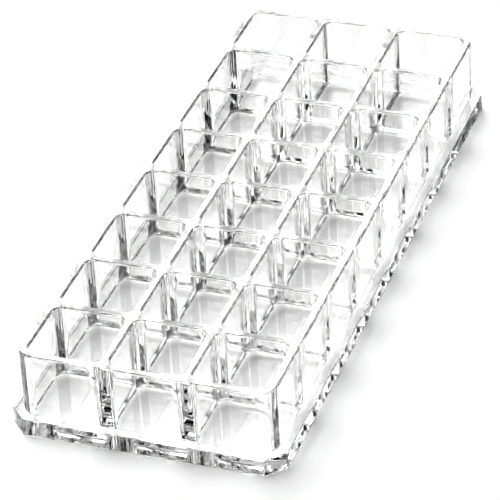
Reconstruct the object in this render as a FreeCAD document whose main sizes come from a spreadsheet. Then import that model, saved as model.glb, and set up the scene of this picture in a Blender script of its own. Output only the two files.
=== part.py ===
import FreeCAD, Part
import math
import os

import Sketcher

# A clear organizer for lipsticks: a base plate with a shallow housing, four mitred outer walls that stand
# in it, and a grid of long and cross dividers halved into each other, all cemented together.
# The origin is at the middle of the underside, with the long side along Y and the front at -Y.

doc = FreeCAD.newDocument("vanity_organizer")

# Driving dimensions in millimetres, except the two counts
dimensions = {
    "columns": 3,  # cells across
    "rows": 8,  # cells along
    "cell_width": 25,  # clear width of a cell, across
    "cell_depth": 25.6,  # clear width of a cell, along
    "cell_height": 25,  # from the cell floor to the rim
    "cell_corner": 3,  # radius of a cell's upright inner corners
    "wall": 3,  # thickness of the four outer walls
    "wall_corner": 5.8,  # radius of the organizer's upright outer corners
    "divider": 3,  # thickness of the dividers
    "base_height": 6,  # thickness of the base plate
    "base_overhang": 3.4,  # ledge round the foot of the walls
    "base_corner_cut": 6,  # slanting cut at the base plate's corners
    "base_edge": 0.4,  # bevel along the base plate's upper edge
    "housing_depth": 2,  # depth of the recess that the walls and dividers stand in
    "cement_gap": 0.05,  # room for cement in each upright joint
}

sizes = doc.addObject("Spreadsheet::Sheet", "sizes")
for line, (alias, number) in enumerate(dimensions.items(), start=1):
    sizes.set(f"A{line}", alias)
    sizes.set(f"B{line}", str(number))
    sizes.setAlias(f"B{line}", alias)
doc.recompute()

# Lengths that follow from the driving dimensions
column_pitch = "(sizes.cell_width + sizes.divider)"
row_pitch = "(sizes.cell_depth + sizes.divider)"
inner_width = f"(sizes.columns * {column_pitch} - sizes.divider)"
inner_length = f"(sizes.rows * {row_pitch} - sizes.divider)"
outer_width = f"({inner_width} + 2 * sizes.wall)"
outer_length = f"({inner_length} + 2 * sizes.wall)"
floor_level = "(sizes.base_height - sizes.housing_depth)"
half_divider = "(sizes.divider / 2)"
half_height = "(sizes.cell_height / 2)"

# How far a divider's flare reaches along its neighbour, where the corner's arc meets the cement gap
flare_reach = "(sizes.cell_corner - sqrt(sizes.cement_gap * (2 * sizes.cell_corner - sizes.cement_gap)))"

# Directions in which an arc of an outline turns
LEFT = 1
RIGHT = -1


def value(expression):
    return float(sizes.evalExpression(expression))


def origin_feature(body, role):
    return next(feature for feature in body.Origin.OriginFeatures if feature.Role == role)


def new_body(label, x="0", y="0", z=floor_level, turn=0):
    body = doc.addObject("PartDesign::Body", label)
    body.Label = label
    body.Placement.Rotation = FreeCAD.Rotation(FreeCAD.Vector(0, 0, 1), turn)
    for axis, place in zip("xyz", (x, y, z)):
        body.setExpression(f"Placement.Base.{axis}", place)
    return body


def arc_between(start, end, radius, turn):
    # The shorter arc from start to end, with its centre on the side that it turns to
    chord = end - start
    rise = math.sqrt(radius**2 - (chord.Length / 2) ** 2)
    across = FreeCAD.Vector(-chord.y, chord.x, 0).normalize()
    centre = (start + end) / 2 + across * (turn * rise)
    first, last = (start, end) if turn == LEFT else (end, start)
    circle = Part.Circle(centre, FreeCAD.Vector(0, 0, 1), radius)
    return Part.ArcOfCircle(circle, circle.parameter(first), circle.parameter(last))


def bind(sketch, constraint, expression):
    sketch.setExpression(f"Constraints[{sketch.addConstraint(constraint)}]", expression)


def outline(body, name, corners, level="0"):
    # A closed sketch, level with the body's XY plane. A corner is (x, y), or (x, y, radius, turn) where
    # the side that leaves it is an arc.
    sketch = body.newObject("Sketcher::SketchObject", f"{body.Name}_{name}")
    sketch.AttachmentSupport = (origin_feature(body, "XY_Plane"), [""])
    sketch.MapMode = "FlatFace"
    sketch.setExpression("AttachmentOffset.Base.z", level)
    points = [FreeCAD.Vector(value(corner[0]), value(corner[1]), 0) for corner in corners]
    ends = []
    for start, end, corner in zip(points, points[1:] + points[:1], corners):
        if len(corner) == 2:
            sketch.addGeometry(Part.LineSegment(start, end))
            ends.append((1, 2))
        else:
            sketch.addGeometry(arc_between(start, end, value(corner[2]), corner[3]))
            ends.append((1, 2) if corner[3] == LEFT else (2, 1))
    for side, (point, corner) in enumerate(zip(points, corners)):
        first, last = ends[side]
        following = (side + 1) % len(corners)
        sketch.addConstraint(Sketcher.Constraint("Coincident", side, last, following, ends[following][0]))
        bind(sketch, Sketcher.Constraint("DistanceX", -1, 1, side, first, point.x), corner[0])
        bind(sketch, Sketcher.Constraint("DistanceY", -1, 1, side, first, point.y), corner[1])
        if len(corner) > 2:
            bind(sketch, Sketcher.Constraint("Radius", side, value(corner[2])), corner[2])
    return sketch


def rectangle(body, name, x_range, y_range, level="0"):
    (left, right), (front, rear) = x_range, y_range
    return outline(body, name, [(left, front), (right, front), (right, rear), (left, rear)], level)


def pad(body, sketch, height):
    feature = body.newObject("PartDesign::Pad", f"{sketch.Name}_pad")
    feature.Profile = sketch
    feature.setExpression("Length", height)
    doc.recompute()
    return feature


def pocket(body, sketch, depth, upwards=False):
    before = body.Shape.Volume
    feature = body.newObject("PartDesign::Pocket", f"{sketch.Name}_pocket")
    feature.Profile = sketch
    feature.Reversed = upwards
    feature.setExpression("Length", depth)
    doc.recompute()
    if not body.Shape.Volume < before:
        raise ValueError(f"{feature.Name} cuts nothing")
    return feature


def repeat(body, feature, axis, pitch, count):
    pattern = body.newObject("PartDesign::LinearPattern", f"{feature.Name}_row")
    pattern.Originals = [feature]
    pattern.Direction = (origin_feature(body, axis), [""])
    pattern.setExpression("Length", f"({count} - 1) * {pitch}")
    pattern.setExpression("Occurrences", count)
    body.Tip = pattern
    doc.recompute()
    return pattern


def edges_at(shape, height):
    # Names of the edges that lie level at this height
    def level_with(edge):
        return all(abs(vertex.Z - height) < Part.Precision.confusion() for vertex in edge.Vertexes)

    return [f"Edge{place}" for place, edge in enumerate(shape.Edges, start=1) if level_with(edge)]


def base_plate():
    body = new_body("base_plate", z="0")
    half_x = f"({outer_width} / 2 + sizes.base_overhang)"
    half_y = f"({outer_length} / 2 + sizes.base_overhang)"
    short_x = f"({half_x} - sizes.base_corner_cut)"
    short_y = f"({half_y} - sizes.base_corner_cut)"
    plate = outline(
        body,
        "plan",
        [
            (f"-{short_x}", f"-{half_y}"),
            (short_x, f"-{half_y}"),
            (half_x, f"-{short_y}"),
            (half_x, short_y),
            (short_x, half_y),
            (f"-{short_x}", half_y),
            (f"-{half_x}", short_y),
            (f"-{half_x}", f"-{short_y}"),
        ],
    )
    slab = pad(body, plate, "sizes.base_height")
    bevel = body.newObject("PartDesign::Chamfer", "base_plate_bevel")
    bevel.Base = (slab, edges_at(slab.Shape, value("sizes.base_height")))
    bevel.setExpression("Size", "sizes.base_edge")
    doc.recompute()

    # The housing takes the ring of walls, with room for cement round it
    side_x = f"({outer_width} / 2 + sizes.cement_gap)"
    side_y = f"({outer_length} / 2 + sizes.cement_gap)"
    radius = "(sizes.wall_corner + sizes.cement_gap)"
    run_x = f"({side_x} - {radius})"
    run_y = f"({side_y} - {radius})"
    housing = outline(
        body,
        "housing",
        [
            (f"-{run_x}", f"-{side_y}"),
            (run_x, f"-{side_y}", radius, LEFT),
            (side_x, f"-{run_y}"),
            (side_x, run_y, radius, LEFT),
            (run_x, side_y),
            (f"-{run_x}", side_y, radius, LEFT),
            (f"-{side_x}", run_y),
            (f"-{side_x}", f"-{run_y}", radius, LEFT),
        ],
        level="sizes.base_height",
    )
    pocket(body, housing, "sizes.housing_depth")
    return body


def outer_wall(label, run, x, y, turn):
    # Drawn along X with its outer face on the X axis, mitred at both ends through the rounded corners
    body = new_body(label, x, y, turn=turn)
    half = f"({run} / 2)"
    mitre = "(1 - sqrt(0.5))"
    outer_mitre = f"({mitre} * sizes.wall_corner)"
    inner_mitre = f"(sizes.wall + {mitre} * sizes.cell_corner)"
    inner_run = f"({half} - sizes.wall - sizes.cell_corner)"
    plan = outline(
        body,
        "plan",
        [
            (f"{outer_mitre} - {half}", outer_mitre, "sizes.wall_corner", LEFT),
            (f"sizes.wall_corner - {half}", "0"),
            (f"{half} - sizes.wall_corner", "0", "sizes.wall_corner", LEFT),
            (f"{half} - {outer_mitre}", outer_mitre),
            (f"{half} - {inner_mitre}", inner_mitre, "sizes.cell_corner", RIGHT),
            (inner_run, "sizes.wall"),
            (f"-{inner_run}", "sizes.wall", "sizes.cell_corner", RIGHT),
            (f"{inner_mitre} - {half}", inner_mitre),
        ],
    )
    pad(body, plan, "sizes.cell_height")
    return body


def long_divider(label, x):
    # Drawn along Y from the front wall's inner face, flared where it meets the front and rear walls
    body = new_body(label, x, f"-{inner_length} / 2")
    tip = f"({half_divider} + {flare_reach})"
    rear = inner_length
    plan = outline(
        body,
        "plan",
        [
            (f"-{tip}", "sizes.cement_gap"),
            (tip, "sizes.cement_gap", "sizes.cell_corner", RIGHT),
            (half_divider, "sizes.cell_corner"),
            (half_divider, f"{rear} - sizes.cell_corner", "sizes.cell_corner", RIGHT),
            (tip, f"{rear} - sizes.cement_gap"),
            (f"-{tip}", f"{rear} - sizes.cement_gap", "sizes.cell_corner", RIGHT),
            (f"-{half_divider}", f"{rear} - sizes.cell_corner"),
            (f"-{half_divider}", "sizes.cell_corner", "sizes.cell_corner", RIGHT),
        ],
    )
    pad(body, plan, "sizes.cell_height")
    slot = rectangle(
        body,
        "slot",
        ("-sizes.divider", "sizes.divider"),
        ("sizes.cell_depth - sizes.cement_gap", f"{row_pitch} + sizes.cement_gap"),
        level="sizes.cell_height",
    )
    repeat(body, pocket(body, slot, half_height), "Y_Axis", row_pitch, "(sizes.rows - 1)")
    return body


def cross_divider(label, y):
    # Drawn along X from the left wall's inner face, flared at the walls and at each long divider
    body = new_body(label, f"-{inner_width} / 2", y)
    tip = f"({half_divider} + {flare_reach})"
    front = []
    columns = int(value("sizes.columns"))
    for column in range(columns):
        left = f"{column} * {column_pitch}"
        right = f"({left} + sizes.cell_width)"
        if column > 0:
            front.append((f"{left} + sizes.cement_gap", half_divider))
        front.append((f"{left} + sizes.cement_gap", tip, "sizes.cell_corner"))
        front.append((f"{left} + sizes.cell_corner", half_divider))
        front.append((f"{right} - sizes.cell_corner", half_divider, "sizes.cell_corner"))
        front.append((f"{right} - sizes.cement_gap", tip))
        if column < columns - 1:
            front.append((f"{right} - sizes.cement_gap", half_divider))

    # The rear side is the front side turned half round, so that the outline closes
    corners = []
    for x, y_distance, *arc in front:
        corners.append((x, f"-{y_distance}", *arc, *[RIGHT for _ in arc]))
    for x, y_distance, *arc in front:
        corners.append((f"{inner_width} - ({x})", y_distance, *arc, *[RIGHT for _ in arc]))
    pad(body, outline(body, "plan", corners), "sizes.cell_height")
    slot = rectangle(
        body,
        "slot",
        ("sizes.cell_width - sizes.cement_gap", f"{column_pitch} + sizes.cement_gap"),
        ("-sizes.divider", "sizes.divider"),
    )
    depth = f"({half_height} + sizes.cement_gap)"
    repeat(body, pocket(body, slot, depth, upwards=True), "X_Axis", column_pitch, "(sizes.columns - 1)")
    return body


pieces = [
    base_plate(),
    outer_wall("front_wall", outer_width, "0", f"-{outer_length} / 2", 0),
    outer_wall("right_wall", outer_length, f"{outer_width} / 2", "0", 90),
    outer_wall("rear_wall", outer_width, "0", f"{outer_length} / 2", 180),
    outer_wall("left_wall", outer_length, f"-{outer_width} / 2", "0", 270),
]
for place in range(1, int(value("sizes.columns"))):
    middle = f"{place} * {column_pitch} - {half_divider} - {inner_width} / 2"
    pieces.append(long_divider(f"long_divider_{place}", middle))
for place in range(1, int(value("sizes.rows"))):
    middle = f"{place} * {row_pitch} - {half_divider} - {inner_length} / 2"
    pieces.append(cross_divider(f"cross_divider_{place}", middle))
doc.recompute()

for item in doc.Objects:
    if {"Invalid", "Error"} & set(item.State):
        raise ValueError(f"{item.Name} failed: {item.State}")
for piece in pieces:
    if piece.Shape.isNull() or not piece.Shape.isValid() or len(piece.Shape.Solids) != 1:
        raise ValueError(f"{piece.Label} is not one valid solid")

os.makedirs("parts", exist_ok=True)
for piece in pieces:
    piece.Shape.exportStep(f"parts/{piece.Label}.step")
    box = piece.Shape.BoundBox
    extent = f"{box.XLength:.2f} x {box.YLength:.2f} x {box.ZLength:.2f} mm"
    print(f"{piece.Label}: {extent}, {piece.Shape.Volume:.1f} mm3")
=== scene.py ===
import math

import bpy
import numpy as np
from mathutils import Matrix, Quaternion, Vector


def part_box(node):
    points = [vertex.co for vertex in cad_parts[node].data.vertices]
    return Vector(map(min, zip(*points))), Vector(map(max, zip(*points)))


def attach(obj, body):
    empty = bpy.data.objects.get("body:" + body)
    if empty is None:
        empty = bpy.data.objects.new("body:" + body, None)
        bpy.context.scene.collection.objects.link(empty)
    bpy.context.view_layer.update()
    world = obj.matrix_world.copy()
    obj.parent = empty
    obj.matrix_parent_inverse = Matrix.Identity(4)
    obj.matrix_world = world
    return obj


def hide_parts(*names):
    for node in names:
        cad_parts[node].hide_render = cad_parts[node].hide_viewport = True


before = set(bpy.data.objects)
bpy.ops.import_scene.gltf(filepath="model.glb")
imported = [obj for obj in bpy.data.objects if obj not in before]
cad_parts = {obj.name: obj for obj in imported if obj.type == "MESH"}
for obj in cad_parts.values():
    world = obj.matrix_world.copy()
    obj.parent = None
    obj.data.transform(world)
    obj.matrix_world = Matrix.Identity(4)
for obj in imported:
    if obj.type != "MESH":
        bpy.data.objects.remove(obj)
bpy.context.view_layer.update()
print("frame:", len(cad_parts), "CAD nodes")

# The grid of cells. Its outer sizes and heights come from the frame
tray = {
    "columns": 3,
    "rows": 8,
    "wall": 0.003,  # outer walls
    "divider": 0.003,
    "cellCorner": 0.003,  # upright inner corners of a cell
    "wallCorner": 0.0058,  # upright outer corners
    "rimRound": 0.0008,  # rounding over every upper edge
    "footCove": 0.0009,  # where the cell walls run into the floor
    "arcSteps": 6,  # facets in an eighth of a turn
    "edgeSteps": 5,  # facets over a rounded edge
}

# The plate underneath
plate = {
    "cornerCut": 0.006,
    "cutRound": 0.0012,  # either end of a corner cut
    "upperEdge": 0.0004,
    "lowerEdge": 0.0003,
}

columns, rows = tray["columns"], tray["rows"]
wall, divider, corner = tray["wall"], tray["divider"], tray["cellCorner"]
steps = tray["arcSteps"]
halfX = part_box("right_wall")[1].x
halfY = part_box("rear_wall")[1].y
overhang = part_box("base_plate")[1].x - halfX
floorZ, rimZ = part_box("front_wall")[0].z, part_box("front_wall")[1].z
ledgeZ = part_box("base_plate")[1].z
lapZ = (floorZ + rimZ) / 2  # where the halved dividers meet
innerX, innerY = halfX - wall, halfY - wall
cellX = (2 * innerX - (columns - 1) * divider) / columns
cellY = (2 * innerY - (rows - 1) * divider) / rows

clear, bond, sawn = 0, 1, 2  # material slots, the last on the plate alone
snap = 1e-7  # metres, points closer than this are one


# A profile has a line per height: z, how far the face steps back there, and its normal outwards and upwards
def quarter(count):
    # sine and cosine of equal steps from nothing to a quarter turn
    angle = np.linspace(0, np.pi / 2, count + 1)
    return np.sin(angle), np.cos(angle)


def joinedProfile(*parts):
    # the lines of all parts, one after the other; a single number holds for every line of its part
    return np.vstack([np.stack(np.broadcast_arrays(*part), 1) for part in parts])


# Over a rounded edge, rise = radius * sine and step back = radius * (1 - cosine).
# In a cove, rise = radius * (1 - cosine), and the face stands out by radius * (1 - sine).
# The plate's lower edge rises like a cove and steps back as far as that stands out.
sine, cosine = quarter(tray["edgeSteps"])
cove, rim = tray["footCove"], tray["rimRound"]
rimPart = (rimZ - rim + rim * sine, rim * (1 - cosine), cosine, sine)
cellProfile = joinedProfile(
    (floorZ + cove * (1 - cosine), cove * (sine - 1), sine, cosine),
    (np.array([ledgeZ, lapZ]), 0, 1, 0),
    rimPart,
)
wallProfile = joinedProfile((cellProfile[: -len(sine), 0], 0, 1, 0), rimPart)
foot, ledge, lap, top = 0, len(sine), len(sine) + 1, len(cellProfile) - 1  # lines of those two profiles

upper, lower = plate["upperEdge"], plate["lowerEdge"]
plateProfile = joinedProfile(
    (lower * (1 - cosine), lower * (1 - sine), sine, -cosine),
    (ledgeZ - upper + upper * sine, upper * (1 - cosine), cosine, sine),
)


# A rail is a line in plan, x and y with the direction from the face into the material at each point
def arc(x, y, radius, start, end, count, inwards=1):
    # point = centre + radius * (cosine, sine); lean = the same direction, or its opposite where inwards is -1
    angle = np.radians(np.linspace(start, end, count + 1))
    around = np.stack([np.cos(angle), np.sin(angle)], 1)
    return np.hstack([(x, y) + radius * around, inwards * around])


def line(x, y, leanX, leanY):
    # points on a straight line; a single number holds for all of them
    return np.stack(np.broadcast_arrays(x, y, leanX, leanY), 1).astype(float)


def turned(rail, quarters, x, y):
    # new x = x * cosine - y * sine, new y = x * sine + y * cosine, and then the move to the side's place
    cos, sin = ((1, 0), (0, 1), (-1, 0), (0, -1))[quarters]
    turn = np.array([[cos, sin], [-sin, cos]])
    return np.hstack([rail[:, :2] @ turn + (x, y), rail[:, 2:] @ turn])


def raised(rail, profile):
    # point = plan + step * lean at each height; normal = upwards share - outwards share * lean
    height, step, outwards, upwards = (share[:, None] for share in profile.T)
    points = np.empty((len(profile), len(rail), 3))
    points[..., :2] = rail[:, :2] + step[..., None] * rail[:, 2:]
    points[..., 2] = height
    normals = np.empty_like(points)
    normals[..., :2] = -outwards[..., None] * rail[:, 2:]
    normals[..., 2] = upwards
    return points, normals


# A sheet is a grid of points as quads: corners, corner normals and a material for each quad
def corners(grid):
    # the four points of each cell of the grid, in the order of going round it
    cells = (grid[:-1, :-1], grid[:-1, 1:], grid[1:, 1:], grid[1:, :-1])
    return np.stack(cells, 2).reshape(-1, 4, 3)


def sheet(points, material, normals=None, flip=False):
    # where no normals are given, a quad is flat and its normal is the cross product of its diagonals
    quads = corners(points)
    if normals is None:
        flat = np.cross(quads[:, 2] - quads[:, 0], quads[:, 3] - quads[:, 1])
        flat /= np.linalg.norm(flat, axis=1, keepdims=True)
        directions = np.repeat(flat[:, None], 4, 1) * (-1 if flip else 1)
    else:
        directions = corners(normals)
    materials = np.broadcast_to(material, (points.shape[0] - 1, points.shape[1] - 1)).ravel()
    if flip:
        quads, directions = quads[:, ::-1], directions[:, ::-1]
    return quads, directions, materials


def between(first, second, shares):
    # point = first + share * (second - first)
    share = np.array(shares)[:, None, None]
    return first + share * (second - first)


def bar(first, second, low, high, firstFace=bond, secondFace=bond, topFace=bond, shares=(0, 1)):
    # A solid between two upright faces, each a rail with its profile, from one line of the profiles to
    # another: both faces, and the top, the underside and the two ends as points between them
    firstGrid, firstNormals = (part[low : high + 1] for part in raised(*first))
    secondGrid, secondNormals = (part[low : high + 1] for part in raised(*second))
    start, end = (between(firstGrid[:, at], secondGrid[:, at], shares).swapaxes(0, 1) for at in (0, -1))
    return [
        sheet(firstGrid, firstFace, firstNormals),
        sheet(secondGrid, secondFace, secondNormals, flip=True),
        sheet(between(firstGrid[-1], secondGrid[-1], shares), topFace),
        sheet(between(firstGrid[0], secondGrid[0], shares), bond, flip=True),
        sheet(end, bond),
        sheet(start, bond, flip=True),
    ]


def meshFrom(name, sheets):
    quads, normals, materials = (np.concatenate(part) for part in zip(*sheets))
    # Points are merged on a fine grid, and two faces back to back inside a piece cancel out
    snapped = np.round(quads.reshape(-1, 3) / snap).astype(np.int64)
    places, index = np.unique(snapped, axis=0, return_inverse=True)
    faces = index.reshape(-1, 4)
    _, which, uses = np.unique(np.sort(faces, 1), axis=0, return_inverse=True, return_counts=True)
    outside = uses[which.ravel()] == 1
    faces, normals, materials = faces[outside], normals[outside], materials[outside]
    used, faces = np.unique(faces, return_inverse=True)
    mesh = bpy.data.meshes.new(name)
    mesh.from_pydata(places[used] * snap, [], faces.reshape(-1, 4))
    mesh.polygons.foreach_set("use_smooth", np.ones(len(mesh.polygons), bool))
    mesh.polygons.foreach_set("material_index", materials.astype(np.int32))
    mesh.normals_split_custom_set(normals.reshape(-1, 3))
    mesh.update()
    return mesh


# Where a divider and the round corners beside it start and end, from its near face
dividerStops = np.array([-corner, 0, divider, divider + corner])


# Rails of one side, laid along x with the wall's outer face on y = 0: the wall's inner face, its outer face
# and the plate's edge. The last value is the material of each stretch of the inner face, which is bonded
# where a divider meets it.
def sideRails(run, count, pitch, cell):
    half = run / 2
    stops = wall + cell + np.arange(count - 1)[:, None] * pitch
    along = (stops + dividerStops).ravel() - half
    inner = np.vstack([
        arc(wall + corner - half, wall + corner, corner, 225, 270, steps),
        line(along, wall, 0, -1),
        arc(half - wall - corner, wall + corner, corner, 270, 315, steps),
    ])
    outside = tray["wallCorner"]
    outer = np.vstack([
        arc(outside - half, outside, outside, 225, 270, steps, -1),
        line(along, 0, 0, 1),
        arc(half - outside, outside, outside, 270, 315, steps, -1),
    ])
    cut, soft = plate["cornerCut"], plate["cutRound"]
    edge = half + overhang
    centre = edge - cut - soft * math.tan(math.radians(22.5))  # where the rounding meets the straight edge
    slant = math.sqrt(0.5)
    middleX, middleY = edge - cut / 2, cut / 2 - overhang  # of the corner cut
    softSteps = steps - 1  # that middle takes the place of one point
    base = np.vstack([
        line([-middleX], middleY, slant, slant),
        arc(-centre, soft - overhang, soft, 225, 270, softSteps, -1),
        line(along, -overhang, 0, 1),
        arc(centre, soft - overhang, soft, 270, 315, softSteps, -1),
        line([middleX], middleY, -slant, slant),
    ])
    ends = [clear] * steps
    faces = ends + [clear, bond, bond, bond] * (count - 1) + [clear] + ends
    return inner, outer, base, np.array(faces)


sides = []
for quarters, (name, x, y) in enumerate([
    ("front_wall", 0, -halfY),
    ("right_wall", halfX, 0),
    ("rear_wall", 0, halfY),
    ("left_wall", -halfX, 0),
]):
    if quarters % 2:
        found = sideRails(2 * halfY, rows, cellY + divider, cellY)
    else:
        found = sideRails(2 * halfX, columns, cellX + divider, cellX)
    sides.append((name, *(turned(rail, quarters, x, y) for rail in found[:3]), found[3]))

pieces = {}
for name, inner, outer, base, faces in sides:
    first, second = (outer, wallProfile), (inner, cellProfile)
    pieces[name] = bar(first, second, foot, ledge, bond, faces)
    pieces[name] += bar(first, second, ledge, top, clear, faces, clear)

# Long dividers: whole up to the laps, and cut through there above them
# The shares of the way across are those of the divider's own faces, between the tips of the flares beside it
thirds = (0, corner / (2 * corner + divider), 1 - corner / (2 * corner + divider), 1)
rowStops = cellY - innerY + np.arange(rows - 1)[:, None] * (cellY + divider)
rowStops = (rowStops + dividerStops).ravel()
rounds = 2 * steps
for place in range(1, columns):
    x = place * (cellX + divider) - divider / 2 - innerX
    offset = divider / 2 + corner
    right = np.vstack([
        arc(x + offset, corner - innerY, corner, 270, 180, rounds),
        line(x + divider / 2, rowStops, -1, 0),
        arc(x + offset, innerY - corner, corner, 180, 90, rounds),
    ])
    left = right * (-1, 1, -1, 1) + (2 * x, 0, 0, 0)
    faces = np.array([clear] * rounds + [clear, bond, bond, bond] * (rows - 1) + [clear] + [clear] * rounds)
    first, second = (right, cellProfile), (left, cellProfile)
    sheets = bar(first, second, foot, lap, faces, faces, bond, thirds)
    laps = [rounds + 1 + len(dividerStops) * row + stop for row in range(rows - 1) for stop in (1, 2)]
    cuts = [0, *laps, len(right) - 1]
    for start, end in zip(cuts[::2], cuts[1::2]):
        part = slice(start, end + 1)
        run = faces[start:end]
        first, second = (right[part], cellProfile), (left[part], cellProfile)
        sheets += bar(first, second, lap, top, run, run, clear, thirds)
    pieces[f"long_divider_{place}"] = sheets

# Cross dividers: a bar across each column of cells, joined over the long dividers. The first and the last
# place are those of the front and rear walls, and only give the rails that their cells' floors end at.
dividerRails = []
for place in range(rows + 1):
    y = place * (cellY + divider) - divider / 2 - innerY
    near, far = y - divider / 2 - corner, y + divider / 2 + corner
    sheets = []
    for column in range(columns):
        x = column * (cellX + divider) - innerX
        start, end = x + corner, x + cellX - corner
        front = np.vstack([
            arc(start, near, corner, 180, 90, rounds),
            arc(end, near, corner, 90, 0, rounds),
        ])
        rear = np.vstack([
            arc(start, far, corner, 180, 270, rounds),
            arc(end, far, corner, 270, 360, rounds),
        ])
        dividerRails.append((front, rear))
        sheets += bar((front, cellProfile), (rear, cellProfile), foot, top, clear, clear, clear, thirds)
        if column > 0:
            ends = np.array([x - divider, x])
            front = line(ends, y - divider / 2, (1, -1), 0)
            rear = line(ends, y + divider / 2, (1, -1), 0)
            sheets += bar((front, cellProfile), (rear, cellProfile), lap, top, bond, bond, clear)
    if 0 < place < rows:
        pieces[f"cross_divider_{place}"] = sheets

# The plate: its edge all round, the underside, the ledge and the housing, with a floor in each cell
edgeLoop = np.vstack([side[3][:-1] for side in sides])
wallLoop = np.vstack([side[2][:-1] for side in sides])
edge, edgeNormals = raised(np.vstack([edgeLoop, edgeLoop[:1]]), plateProfile)
housing, housingNormals = raised(np.vstack([wallLoop, wallLoop[:1]]), wallProfile[foot : ledge + 1])
onUnderside = (1, 1, 0)  # a point times this keeps its x and y and lies on the underside
basePlate = [
    sheet(edge, sawn, edgeNormals),
    sheet(np.stack([edge[0], housing[0] * onUnderside]), clear, flip=True),
    sheet(np.stack([edge[-1], housing[-1]]), clear),
    sheet(housing, bond, -housingNormals, flip=True),
]
footprints = []
for sheets in pieces.values():
    for quads, normals, materials in sheets:
        low = (np.abs(quads[..., 2] - floorZ) < snap).all(1)
        footprints.append((quads[low][:, ::-1], -normals[low], materials[low]))
for row in range(rows):
    for column in range(columns):
        _, front = dividerRails[row * columns + column]
        rear, _ = dividerRails[(row + 1) * columns + column]
        ends = [raised(rail, cellProfile[:1])[0][0] for rail in (front, rear)]
        footprints.append(sheet(np.stack(ends), clear))
for quads, normals, materials in footprints:
    basePlate.append((quads, normals, materials))
    basePlate.append((quads[:, ::-1] * onUnderside, -normals, np.full_like(materials, clear)))
pieces["base_plate"] = basePlate
print("pieces:", len(pieces))


# Slow unevenness over a surface, shared by every material: two colours and two values blended by noise
def unevenGroup():
    group = bpy.data.node_groups.new("uneven surface", "ShaderNodeTree")
    for socket, kind in (
        ("Scale", "NodeSocketFloat"),
        ("Detail", "NodeSocketFloat"),
        ("First Color", "NodeSocketColor"),
        ("Second Color", "NodeSocketColor"),
        ("Low", "NodeSocketFloat"),
        ("High", "NodeSocketFloat"),
    ):
        group.interface.new_socket(socket, in_out="INPUT", socket_type=kind)
    for socket, kind in (
        ("Color", "NodeSocketColor"),
        ("Value", "NodeSocketFloat"),
        ("Height", "NodeSocketFloat"),
    ):
        group.interface.new_socket(socket, in_out="OUTPUT", socket_type=kind)
    nodes, links = group.nodes, group.links
    given, result = nodes.new("NodeGroupInput"), nodes.new("NodeGroupOutput")
    place = nodes.new("ShaderNodeTexCoord")
    noise = nodes.new("ShaderNodeTexNoise")
    spread = nodes.new("ShaderNodeMapRange")  # noise seldom leaves its middle third, so that is stretched
    spread.inputs["From Min"].default_value = 1 / 3
    spread.inputs["From Max"].default_value = 2 / 3
    colors = nodes.new("ShaderNodeMixRGB")
    values = nodes.new("ShaderNodeMapRange")
    links.new(place.outputs["Object"], noise.inputs["Vector"])
    links.new(given.outputs["Scale"], noise.inputs["Scale"])
    links.new(given.outputs["Detail"], noise.inputs["Detail"])
    links.new(noise.outputs["Fac"], spread.inputs["Value"])
    links.new(spread.outputs["Result"], colors.inputs["Fac"])
    links.new(given.outputs["First Color"], colors.inputs["Color1"])
    links.new(given.outputs["Second Color"], colors.inputs["Color2"])
    links.new(spread.outputs["Result"], values.inputs["Value"])
    links.new(given.outputs["Low"], values.inputs["To Min"])
    links.new(given.outputs["High"], values.inputs["To Max"])
    links.new(colors.outputs["Color"], result.inputs["Color"])
    links.new(values.outputs["Result"], result.inputs["Value"])
    links.new(noise.outputs["Fac"], result.inputs["Height"])
    return group


uneven = unevenGroup()


def newMaterial(name):
    material = bpy.data.materials.new(name)
    material.use_nodes = True
    nodes = material.node_tree.nodes
    return material, nodes, material.node_tree.links, nodes["Principled BSDF"]


def grey(level):
    return (level, level, level, 1)


def placeUneven(nodes, look):
    node = nodes.new("ShaderNodeGroup")
    node.node_tree = uneven
    node.inputs["Scale"].default_value = look["scale"]
    node.inputs["Detail"].default_value = look["detail"]
    for socket, level in zip(("First Color", "Second Color"), look["greys"]):
        node.inputs[socket].default_value = grey(level)
    node.inputs["Low"].default_value, node.inputs["High"].default_value = look["range"]
    return node


def ripple(nodes, links, height, shader, depth):
    bump = nodes.new("ShaderNodeBump")
    bump.inputs["Strength"].default_value = 1
    bump.inputs["Distance"].default_value = depth
    links.new(height, bump.inputs["Height"])
    links.new(bump.outputs["Normal"], shader.inputs["Normal"])


# Clear acrylic, very slightly rippled and handled
acrylic = {
    "ior": 1.49,
    "scale": 70,
    "detail": 2,
    "greys": (0.981, 0.989),
    "range": (0.0, 0.004),  # roughness
    "ripple": 0.00003,  # metres
}

# The plate's sawn and polished edge, a little softer than its faces
sawnEdge = {
    "ior": 1.49,
    "scale": 300,
    "detail": 2,
    "greys": (0.981, 0.989),
    "range": (0.05, 0.09),  # roughness
    "ripple": 0.00002,  # metres
}


def acrylicMaterial(name, look):
    material, nodes, links, shader = newMaterial(name)
    surface = placeUneven(nodes, look)
    links.new(surface.outputs["Color"], shader.inputs["Base Color"])
    links.new(surface.outputs["Value"], shader.inputs["Roughness"])
    ripple(nodes, links, surface.outputs["Height"], shader, look["ripple"])
    shader.inputs["IOR"].default_value = look["ior"]
    shader.inputs["Transmission Weight"].default_value = 1
    return material


# Cement between the pieces: it joins them optically, so that nearly nothing of it shows
cement = {
    "scale": 400,
    "detail": 1,
    "greys": (0.9, 0.95),
    "range": (0.0, 0.004),  # how much of it shows
}


def cementMaterial(look):
    material, nodes, links, shader = newMaterial("cement film")
    surface = placeUneven(nodes, look)
    links.new(surface.outputs["Color"], shader.inputs["Base Color"])
    links.new(surface.outputs["Value"], shader.inputs["Alpha"])
    return material


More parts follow.
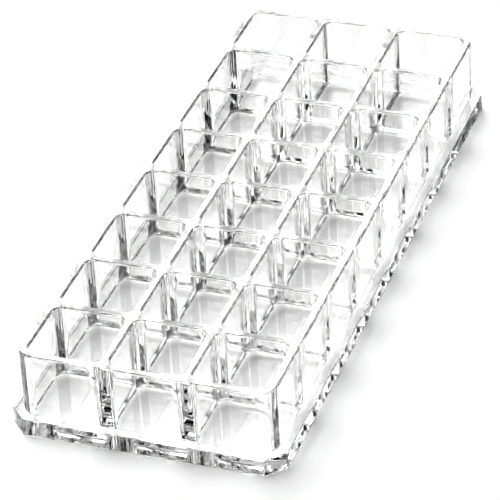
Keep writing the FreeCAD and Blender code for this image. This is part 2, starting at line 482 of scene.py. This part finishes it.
clearMaterial, bondMaterial = acrylicMaterial("clear acrylic", acrylic), cementMaterial(cement)
edgeMaterial = acrylicMaterial("sawn edge", sawnEdge)
for name, sheets in pieces.items():
    mesh = meshFrom(name + "_clear", sheets)
    mesh.materials.append(clearMaterial)
    mesh.materials.append(bondMaterial)
    if name == "base_plate":
        mesh.materials.append(edgeMaterial)
    piece = bpy.data.objects.new(name + "_clear", mesh)
    bpy.context.scene.collection.objects.link(piece)
    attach(piece, "root")
    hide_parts(name)
print("pieces dressed in", clearMaterial.name)

# White paper that the organizer stands on
paper = {
    "half": 4.0,
    "gap": 0.0002,  # below the underside
    "scale": 900,
    "detail": 3,
    "greys": (0.965, 0.975),
    "range": (0.85, 0.95),  # roughness
    "grain": 0.00002,  # metres
    "sheen": 0.1,
}


def paperFloor(look):
    # A flat square: x and y run from minus half to plus half
    side = np.array([-look["half"], look["half"]])
    x, y = np.meshgrid(side, side)
    points = np.stack([x, y, np.full_like(x, -look["gap"])], 2)
    mesh = meshFrom("floor", [sheet(points, clear)])
    material, nodes, links, shader = newMaterial("white paper")
    surface = placeUneven(nodes, look)
    links.new(surface.outputs["Color"], shader.inputs["Base Color"])
    links.new(surface.outputs["Value"], shader.inputs["Roughness"])
    ripple(nodes, links, surface.outputs["Height"], shader, look["grain"])
    shader.inputs["Specular IOR Level"].default_value = look["sheen"]
    mesh.materials.append(material)
    floor = bpy.data.objects.new("floor", mesh)
    bpy.context.scene.collection.objects.link(floor)
    return floor


paperFloor(paper)
print("floor laid")

# Light comes from the ceiling and from three panels behind and to the left. The rest of the room is dark,
# which is what draws the edges. Ceiling and horizon are set by the sine of the elevation.
studio = {
    "ceiling": {"from": 0.66, "full": 0.76, "light": 0.88},
    "horizon": {"full": 0.22, "upTo": 0.36, "light": 0.6},
    "backdrop": 1.2,  # what the camera itself sees past the paper
}
# Azimuth runs from the front towards the right. A panel fades between two cosines of the angle from its axis
panels = [
    {"azimuth": 238, "elevation": 36, "edge": 0.78, "full": 0.86, "light": 0.95},  # wide
    {"azimuth": 232, "elevation": 72, "edge": 0.93, "full": 0.96, "light": 5.3},  # casts the shadow
    {"azimuth": 203, "elevation": 35, "edge": 0.96, "full": 0.98, "light": 1.8},  # shines on the rims
]


def towards(azimuth, elevation):
    # x = sine of azimuth * cosine of elevation, y = minus cosine * cosine, z = sine of elevation
    turn, rise = math.radians(azimuth), math.radians(elevation)
    return Vector((math.sin(turn) * math.cos(rise), -math.cos(turn) * math.cos(rise), math.sin(rise)))


def fadeRamp(nodes, stops):
    # straight from one stop's level to the next, and even before the first and after the last
    ramp = nodes.new("ShaderNodeValToRGB")
    elements = ramp.color_ramp.elements
    while len(elements) < len(stops):
        elements.new(1)
    for element, (position, level) in zip(elements, stops):
        element.position = position
        element.color = grey(level)
    return ramp


def lightRoom():
    world = bpy.data.worlds.new("studio")
    bpy.context.scene.world = world
    world.use_nodes = True
    nodes, links = world.node_tree.nodes, world.node_tree.links
    direction = nodes.new("ShaderNodeTexCoord").outputs["Generated"]
    height = nodes.new("ShaderNodeSeparateXYZ")
    links.new(direction, height.inputs["Vector"])
    ceiling, horizon = studio["ceiling"], studio["horizon"]
    sky = fadeRamp(nodes, [
        (horizon["full"], horizon["light"]),
        (horizon["upTo"], 0),
        (ceiling["from"], 0),
        (ceiling["full"], ceiling["light"]),
    ])
    links.new(height.outputs["Z"], sky.inputs["Fac"])
    color = sky.outputs["Color"]
    # light = light + share * (panel's light - light), so that a later panel covers those before it
    for panel in panels:
        facing = nodes.new("ShaderNodeVectorMath")
        facing.operation = "DOT_PRODUCT"
        facing.inputs[1].default_value = towards(panel["azimuth"], panel["elevation"])
        links.new(direction, facing.inputs[0])
        share = fadeRamp(nodes, [(panel["edge"], 0), (panel["full"], 1)])
        links.new(facing.outputs["Value"], share.inputs["Fac"])
        mix = nodes.new("ShaderNodeMixRGB")
        mix.inputs["Color2"].default_value = grey(panel["light"])
        links.new(share.outputs["Color"], mix.inputs["Fac"])
        links.new(color, mix.inputs["Color1"])
        color = mix.outputs["Color"]
    seen = nodes.new("ShaderNodeMixRGB")
    seen.inputs["Color2"].default_value = grey(studio["backdrop"])
    links.new(nodes.new("ShaderNodeLightPath").outputs["Is Camera Ray"], seen.inputs["Fac"])
    links.new(color, seen.inputs["Color1"])
    links.new(seen.outputs["Color"], nodes["Background"].inputs["Color"])


lightRoom()
print("room lit by", len(panels), "panels")

# The camera, where the photograph was taken from
lens = {
    "target": (0.00228, -0.01915, 0.01455),
    "distance": 1.0792,
    "azimuth": 20.894,
    "elevation": 33.481,
    "roll": -3.25,
    "focal": 228.4,
    "sensor": 36,
    "clip": (0.01, 20),
}


def placeCamera():
    back = towards(lens["azimuth"], lens["elevation"])
    camera = bpy.data.objects.new("camera", bpy.data.cameras.new("camera"))
    camera.data.lens, camera.data.sensor_width = lens["focal"], lens["sensor"]
    camera.data.clip_start, camera.data.clip_end = lens["clip"]
    camera.location = Vector(lens["target"]) + back * lens["distance"]
    camera.rotation_mode = "QUATERNION"
    roll = Quaternion((0, 0, 1), math.radians(lens["roll"]))
    camera.rotation_quaternion = back.to_track_quat("Z", "Y") @ roll
    bpy.context.scene.collection.objects.link(camera)
    bpy.context.scene.camera = camera


placeCamera()
print("camera placed")

# Light has to get through many clear walls, sharp all the way
picture = {"bounces": 48, "diffuse": 12, "glossy": 24, "transparent": 96, "clamp": 6, "gamma": 0.38}
scene = bpy.context.scene
scene.view_settings.view_transform = "Standard"
scene.view_settings.gamma = picture["gamma"]
scene.cycles.max_bounces = picture["bounces"]
scene.cycles.transmission_bounces = picture["bounces"]
scene.cycles.diffuse_bounces = picture["diffuse"]
scene.cycles.glossy_bounces = picture["glossy"]
scene.cycles.transparent_max_bounces = picture["transparent"]
scene.cycles.sample_clamp_indirect = picture["clamp"]
scene.cycles.blur_glossy = 0
